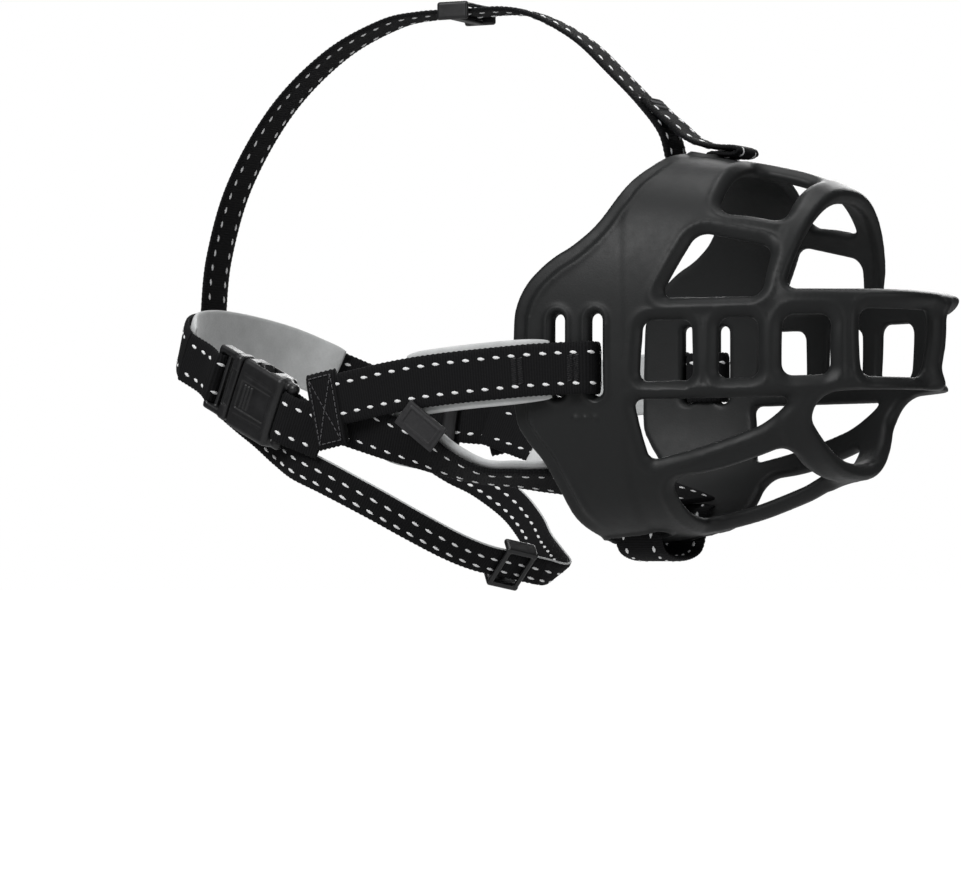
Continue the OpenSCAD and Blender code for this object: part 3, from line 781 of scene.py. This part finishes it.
JAW = [(-83, -56.4, -21.5, 0, -1, -0.1), (-74, -55.6, -24.5, 0, -1, -0.2),
       (-62, -55, -28.8, 0, -1, -0.4), (-51.5, -52.6, -33, 0, -0.8, -0.6),
       (-44, -49.6, -37.2, 0, -0.54, -0.84), (-34, -44.6, -41.2, 0, -0.3, -0.95),
       (-25, -39, -42, 0, -0.35, -0.93), (-17, -32.4, -42.8, 0, -0.47, -0.88),
       (-8, -26.4, -44.8, 0, -0.35, -0.94), (4, -22, -47.2, 0, -0.2, -1),
       (10, -19.5, -48.6, 0, -0.1, -1)]
JAW_LINED = JAW[2:8] + [(-12.5, -29.4, -43.6, 0, -0.4, -0.9)]
CHIN_HALF = [(6.5, -24, -50.4, 0, -0.1, -1), (6.5, -19, -52, 0, -0.8, -0.6),
             (6.5, -17.3, -56, 0, -1, -0.2), (6.5, -16.6, -60.5, 0, -1, -0.3),
             (6.5, -13.5, -64.5, 0, -0.6, -0.8), (6.5, -7, -66.4, 0, -0.1, -1)]
JUNCTION = [(-74.9, -60, -19.5, 0, -1, 0), (-80, -59.8, -20.5, 0, -1, 0), (-85, -59.2, -21.5, 0, -1, 0)]
NAPE = [(-140.2, -44.4, -2.4, -0.65, -1, 0.15), (-147, -35, 1, -0.9, -0.75, 0.2),
        (-154, -20, 4.5, -1, -0.4, 0.2), (-157, 0, 6, -1, 0, 0.2), (-154, 20, 4.5, -1, 0.4, 0.2),
        (-147, 35, 1, -0.9, 0.75, 0.2), (-136, 47.5, -5.5, -0.6, 1, 0.1),
        (-122, 54, -12, -0.3, 1, 0.05), (-106, 57.5, -18, -0.1, 1, 0)]
NECK_LEFT = [(-98, 58.3, -20, -0.05, 1, 0), (-92, 58.7, -20.9, 0, 1, 0), (-82, 59.4, -21.6, 0, 1, 0)]
TUCK_RIGHT = [(-142.6, -30.6, -6, -0.9, -0.75, 0.2), (-138.6, -33.4, -10.5, -0.7, -0.9, 0.1),
              (-132, -37, -15.5, -0.45, -1, 0), (-122, -41.2, -21.5, -0.3, -1, -0.05),
              (-112, -45.5, -27, -0.2, -1, -0.1), (-103, -49.5, -32.5, -0.1, -1, -0.15)]
THROAT = [(-94.5, -53.4, -37, 0, -1, -0.2), (-84, -53.2, -41.8, 0.1, -1, -0.3),
          (-70, -48.4, -49.6, 0.25, -0.95, -0.45), (-59, -40, -57.2, 0.4, -0.85, -0.6),
          (-51, -30.5, -63.2, 0.5, -0.7, -0.7), (-45, -22.3, -66.8, 0.6, -0.6, -0.8)]
TUCK_LEFT = [(-103, 52.5, -31.5, -0.1, 1, -0.1), (-110, 52.9, -24.5, -0.2, 1, -0.05),
             (-116, 52.6, -19, -0.25, 1, 0), (-121, 51.7, -15, -0.3, 1, 0.05)]
THROAT_FRONT = [(-39, -14.15, -68.9, 0.6, -0.6, -0.8), (-33, -6, -71, 0.6, -0.6, -0.8),
                (-32.2, -4.9, -71.3, 0.6, -0.55, -0.8), (-31, 0, -72, 0.65, 0, -0.85),
                (-33, 7, -71.2, 0.6, 0.4, -0.85), (-40, 17, -68.5, 0.6, 0.6, -0.8)]
FOREHEAD = [(-156.2, 0, 13, -1, 0, 0.1), (-154, 0, 32, -1, 0, 0.2), (-146, 0, 56, -1, 0, 0.4),
            (-130, 0, 80, -0.85, 0, 0.7), (-110, 0, 97, -0.6, 0, 1), (-90, 0, 106, -0.3, 0, 1),
            (-76, 0, 108.1, 0, 0, 1), (-62, 0, 108.1, 0, 0, 1), (-46, 0, 108.1, 0, 0, 1),
            (-34, 0, 105, 0.35, 0, 1), (-20, 0, 97, 0.6, 0, 0.8), (-8, 0, 86, 0.7, 0, 0.75),
            (2, 0, 76, 0.7, 0, 0.75), (9.5, 0, 66.5, 0.85, 0, 0.5), (12.3, 0, 57.5, 1, 0, 0.2),
            (15, 0, 51.4, 0.7, 0, 0.9), (19, 0, 49.8, 0, 0, 1), (23, 0, 51.6, -0.7, 0, 0.8),
            (24.5, 0, 55.5, -1, 0, 0.1), (26.2, 0, 58.9, -0.7, 0, 0.9), (30, 0, 58.9, 0, 0, 1),
            (34.5, 0, 58.7, 0, 0, 1), (36.3, 0, 59.7, -0.9, 0, 0), (34.5, 0, 60.7, 0, 0, -1),
            (28, 0, 61.3, -0.1, 0, -1), (22, 0, 62.7, -0.3, 0, -0.9), (17, 0, 65.1, -0.4, 0, -0.9),
            (12, 0, 69.4, -0.6, 0, -0.8), (7.6, 0, 73.0, -0.7, 0, -0.75), (3.2, 0, 77.3, -0.75, 0, -0.7)]


def other_side(stations):
    """The same route on the wearer's other side."""
    return [(x, -y, z, a, -b, c) for x, y, z, a, b, c in stations]


def arc_at(route, x):
    """Arc length where the route first reaches x."""
    path = route.p[:, 0]
    passed = path >= x if path[0] < x else path <= x
    return route.s[np.argmax(passed)]


SIDES = {"right": lambda stations: stations, "left": other_side}
CHEEK_ROW, THROAT_ROW, THROAT_SHIFT = 4.7, 2.1, 0.7
SIDE_PAD_W, NAPE_PAD_W = WEB_W + 3.8, WEB_W + 2.4


def finish_piece(piece, body, slot, *nodes):
    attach(piece, body)
    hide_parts(*nodes)
    return piece


def strap_piece(name, build):
    return build.piece(name, [MATERIALS[k] for k in STRAP_MATERIALS])


def wide_strap(stations, start, dash_width=DASH_WIDTH):
    """The main webbing along the stations, with its two rows of dashes from arc length start."""
    route = Route(stations, RIB_STEP)
    build = Build()
    webbing(build, route, WEB_W, CHEEK_ROW)
    dashes(build, route, (-CHEEK_ROW, CHEEK_ROW), start, width=dash_width)
    return route, build


def make_basket():
    verts, quads = basket_mesh()
    build = Build()
    build.add(verts / MM, quads)
    finish_piece(build.piece("basket_moulding", [MATERIALS["rubber"]]), "harness", "rubber", "basket")


def make_cheek(side):
    route, build = wide_strap(SIDES[side](CHEEK), 4)
    for x in (-17.5, 0.2):
        double_tack(build, route, arc_at(route, x), 4.0, WEB_T / 2 + 0.12)
    piece = strap_piece("cheek_webbing_" + side, build)
    finish_piece(piece, "harness", "webbing", "cheek_strap_" + side)


def make_jaw(side):
    route, build = wide_strap(SIDES[side](JAW), 4, 0.9)
    box_seam(build, route, route.length - 9, 7, 6)
    finish_piece(strap_piece("jaw_webbing_" + side, build), "harness", "webbing", "jaw_strap_" + side)


def make_chin():
    middle = [(6.5, 0, -66.8, 0, 0, -1)]
    _, build = wide_strap(CHIN_HALF + middle + other_side(CHIN_HALF)[::-1], 3)
    finish_piece(strap_piece("chin_webbing", build), "harness", "webbing", "chin_loop")


def make_junction(side):
    route = Route(SIDES[side](JUNCTION), RIB_STEP)
    build = Build()
    webbing(build, route, PATCH_W, PATCH_W / 2 - 3, 3.0)
    a, b, v, top = 1.2, route.length - 1.2, PATCH_W / 2 - 1.6, 1.62
    seam(build, route, [(a, -v), (b, -v), (b, v), (a, v), (a, -v), (b, v)], top, stitch=1.9)
    seam(build, route, [(a, v), (b, -v)], top, stitch=1.9)
    piece = strap_piece("junction_patch_" + side, build)
    finish_piece(piece, "harness", "webbing", "junction_" + side)


def buckle_loop(rows):
    """Stations given along the buckle, as a list for Route."""
    return [tuple(r) for r in to_place(BUCKLE, rows)]


def make_neck_right():
    loop = buckle_loop([(-12, -3.2, 0, -0.3, 1, 0), (-8, -1.6, 0, -0.3, 1, 0), (-4, 0.4, 0, -0.3, 1, 0),
                        (-0.5, 2.0, 0, -0.2, 1, 0), (2.6, 2.4, 0, 0, 1, 0),
                        (4.6, 1.2, 0, 1, 0.5, 0), (4.8, -0.8, 0, 1, -0.4, 0), (2.9, -2.3, 0, 0.1, -1, 0),
                        (-0.5, -1.9, 0, -0.2, -1, 0), (-6, -1.3, 0, -0.1, -1, 0)])
    _, build = wide_strap(loop, 4.5)
    finish_piece(strap_piece("neck_webbing_right", build), "harness", "webbing", "neck_strap_right")


def make_nape():
    _, build = wide_strap(NAPE + NECK_LEFT, 6)
    piece = strap_piece("nape_webbing", build)
    finish_piece(piece, "harness", "webbing", "nape_strap", "neck_strap_left")


def make_plug_webbing():
    """The loop sewn round the plug's end bar, and the stretch of webbing behind it."""
    loop = buckle_loop([(37.3, -1.4, 0, 0, -1, 0), (36, -2.6, 0, -0.2, -1, 0),
                        (34.4, -1.6, 0, -1, -0.5, 0), (34.3, 1.2, 0, -1, 0.3, 0),
                        (35.6, 2.9, 0, -0.2, 1, 0), (37.6, 2.2, 0, 0.5, 1, 0)])
    piece = strap_piece("plug_webbing_loop", wide_strap(loop, 2)[1])
    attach(piece, "plug")
    slack = buckle_loop([(37.3, 2.3, 0, 0.3, 1, 0), (40, 1.1, 0, 0.3, 1, 0),
                         (44, 0.2, 0, 0.1, 1, 0), (SLACK_END, 0, 0, 0, 1, 0)])
    piece = strap_piece("plug_webbing_slack", wide_strap(slack, 2)[1])
    finish_piece(piece, "harness", "webbing", "plug_webbing")
    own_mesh(piece)


def make_throat():
    """Its ends go inside the nape lining on the right and the neck webbing on the left."""
    stations = TUCK_RIGHT + THROAT + THROAT_FRONT + other_side(THROAT[:-1])[::-1] + TUCK_LEFT
    route = Route(stations, RIB_STEP)
    build = Build()
    webbing(build, route, THROAT_W, THROAT_W / 2 - 2.6)
    rows = (-THROAT_ROW + THROAT_SHIFT, THROAT_ROW + THROAT_SHIFT)
    dashes(build, route, rows, 2, 2.9, 1.05)
    # the pale trim along one edge
    trim = route.at(np.arange(0, route.length, 1.0), -THROAT_W / 2 - 0.05, 0)
    cord(build, trim, 0.3, LINING, 8)
    for s in (1.5, route.length - 7):
        box_seam(build, route, s, 5.5, 4)
    finish_piece(strap_piece("throat_webbing", build), "harness", "webbing", "throat_strap_right",
                 "throat_strap_left", "throat_tuck_right", "throat_tuck_left")


def make_forehead():
    route, build = wide_strap(FOREHEAD, 3)
    double_tack(build, route, route.length - 5, 4.2, -WEB_T / 2 - 0.12)
    finish_piece(strap_piece("forehead_webbing", build), "harness", "webbing",
                 "forehead_strap_front", "forehead_strap_rear", "forehead_return")


def make_pad(name, stations, width, node, taper=(5.0, 5.0)):
    route = Route(stations, 0.5)
    build = Build()
    padding(build, route, width, PAD_T, -(WEB_T + PAD_T) / 2 - 0.1, taper)
    piece = finish_piece(build.piece(name, [MATERIALS["lining"]]), "harness", "lining", node)


def make_tag():
    place = local_frame((-52.4, -61.9, -21.2), (-41.6, -59.6, -30.2), (0, -1, 0))
    length, half = 14.9, 4.5
    m = Mould((0, -0.6, -half), (length, 0.9, half), 0.16)
    m.join(m.box((0, -0.5, -half), (length, 0.5, half), 0.45), 0.1)
    ring = m.box((1.3, 0.2, -half + 1.2), (length - 1.3, 0.8, half - 1.2), 0.3)
    hole = m.box((2.1, -3, -half + 2.0), (length - 2.1, 3, half - 2.0), 0.3)
    m.join(np.maximum(ring, -hole), 0.15)
    finish_piece(m.piece("side_tag", place, MATERIALS["tag"]), "harness", "tag", "label_tag")


def make_hardware():
    origin, along, out, across = BUCKLE
    mirrored = (origin, along, out, -across)
    parts = [("buckle_socket_shell", socket_mould(), BUCKLE, "harness", "buckle_socket"),
             ("buckle_plug_body", plug_mould(), BUCKLE, "plug", "buckle_plug"),
             ("buckle_arm_upper_spring", arm_mould(), BUCKLE, "arm_upper", "buckle_arm_upper"),
             ("buckle_arm_lower_spring", arm_mould(), mirrored, "arm_lower", "buckle_arm_lower"),
             ("throat_slider_frame", slider_mould(THROAT_W), THROAT_SLIDER, "throat_slider",
              "throat_slider"),
             ("forehead_slider_frame", slider_mould(WEB_W), FOREHEAD_SLIDER, "forehead_slider",
              "forehead_slider"),
             ("keeper_ring", keeper_mould(), KEEPER, "strap_keeper", "strap_keeper")]
    for name, mould, place, body, node in parts:
        piece = mould.piece(name, place, MATERIALS["plastic"])
        finish_piece(piece, body, "hard_plastic", node)


# ---------------------------------------------------------------- stage, lights and camera
AZIMUTH, ELEVATION, DISTANCE = 27.0, -1.0, 1400.0
AIM = np.array([-57, 0, -31.5])
VIEW_WIDTH = 308.0
FLOOR_Z, FLOOR_REACH = -260.0, 12000.0


def view_axes():
    a, e = math.radians(AZIMUTH), math.radians(ELEVATION)
    back = np.array([math.sin(a) * math.cos(e), -math.cos(a) * math.cos(e), math.sin(e)])
    right = np.array([math.cos(a), math.sin(a), 0])
    return back, right, np.cross(back, right)


def place_facing(thing, spot, target):
    thing.location = Vector(spot) * MM
    thing.rotation_euler = Vector(spot - target).to_track_quat("Z", "Y").to_euler()
    bpy.context.scene.collection.objects.link(thing)


def add_camera():
    data = bpy.data.cameras.new("photo_view")
    data.sensor_fit, data.sensor_width = "HORIZONTAL", 36.0
    data.lens = data.sensor_width * DISTANCE / VIEW_WIDTH
    data.clip_start, data.clip_end = 0.05, 60
    camera = bpy.data.objects.new("photo_view", data)
    place_facing(camera, AIM + view_axes()[0] * DISTANCE, AIM)
    bpy.context.scene.camera = camera


def add_light(name, right, up, back, size, watts):
    data = bpy.data.lights.new(name, "AREA")
    data.shape, data.size, data.energy = "DISK", size * MM, watts
    b, r, u = view_axes()
    place_facing(bpy.data.objects.new(name, data), AIM + r * right + u * up + b * back, AIM)


def add_stage():
    floor = Nodes("pale_floor")
    tone = floor.noise(floor.place(), 1.5, 2)
    seen = floor.add("ShaderNodeLightPath").outputs["Is Camera Ray"]
    floor.set(Base_Color=floor.colours(tone, (0.50, 0.50, 0.50), (0.56, 0.56, 0.56)), Roughness=0.9,
              Emission_Color=(1, 1, 1, 1), Emission_Strength=seen)
    turn = np.arange(48) * math.tau / 48
    rim = np.stack([FLOOR_REACH * np.cos(turn), FLOOR_REACH * np.sin(turn), np.full(48, FLOOR_Z)], 1) * MM
    mesh = bpy.data.meshes.new("floor")
    mesh.from_pydata(rim.tolist(), [], [list(range(48))])
    mesh.materials.append(floor.material)
    piece = bpy.data.objects.new("floor", mesh)
    bpy.context.scene.collection.objects.link(piece)
    world = bpy.data.worlds.new("studio")
    bpy.context.scene.world = world
    world.use_nodes = True
    tree = world.node_tree
    background = tree.nodes["Background"]
    path = tree.nodes.new("ShaderNodeLightPath")
    level = tree.nodes.new("ShaderNodeMapRange")
    level.inputs["To Min"].default_value = 0.10
    level.inputs["To Max"].default_value = 1.0
    tree.links.new(path.outputs["Is Camera Ray"], level.inputs["Value"])
    tree.links.new(level.outputs["Result"], background.inputs["Strength"])
    background.inputs["Color"].default_value = (1, 1, 1, 1)
    bpy.context.scene.view_settings.view_transform = "Standard"


add_camera()
add_stage()
add_light("key_softbox", -750, 900, 900, 700, 16)
add_light("fill_softbox", 900, 250, 900, 900, 3)
add_light("top_softbox", 100, 1200, -100, 900, 7)
add_light("rim_softbox", 300, 500, -1100, 700, 8)

MATERIALS = {"rubber": rubber_material(), "webbing": webbing_material(), "thread": thread_material(),
             "stitch": stitch_material(), "lining": lining_material(), "plastic": plastic_material(),
             "tag": tag_material()}
make_basket()
for side, place in SIDES.items():
    make_cheek(side)
    make_jaw(side)
    make_junction(side)
    make_pad("cheek_lining_" + side, place(CHEEK_LINED), SIDE_PAD_W, "cheek_pad_" + side, (16, 6))
    make_pad("jaw_lining_" + side, place(JAW_LINED), SIDE_PAD_W, "jaw_pad_" + side, (6, 12))
# the nape's lining starts a little after its webbing, so that the plug clears it
make_pad("nape_lining", [tuple(smooth_curve(NAPE, 10)[6])] + NAPE[1:7], NAPE_PAD_W, "nape_pad")
make_chin()
make_neck_right()
make_nape()
make_plug_webbing()
make_throat()
make_forehead()
make_tag()
make_hardware()
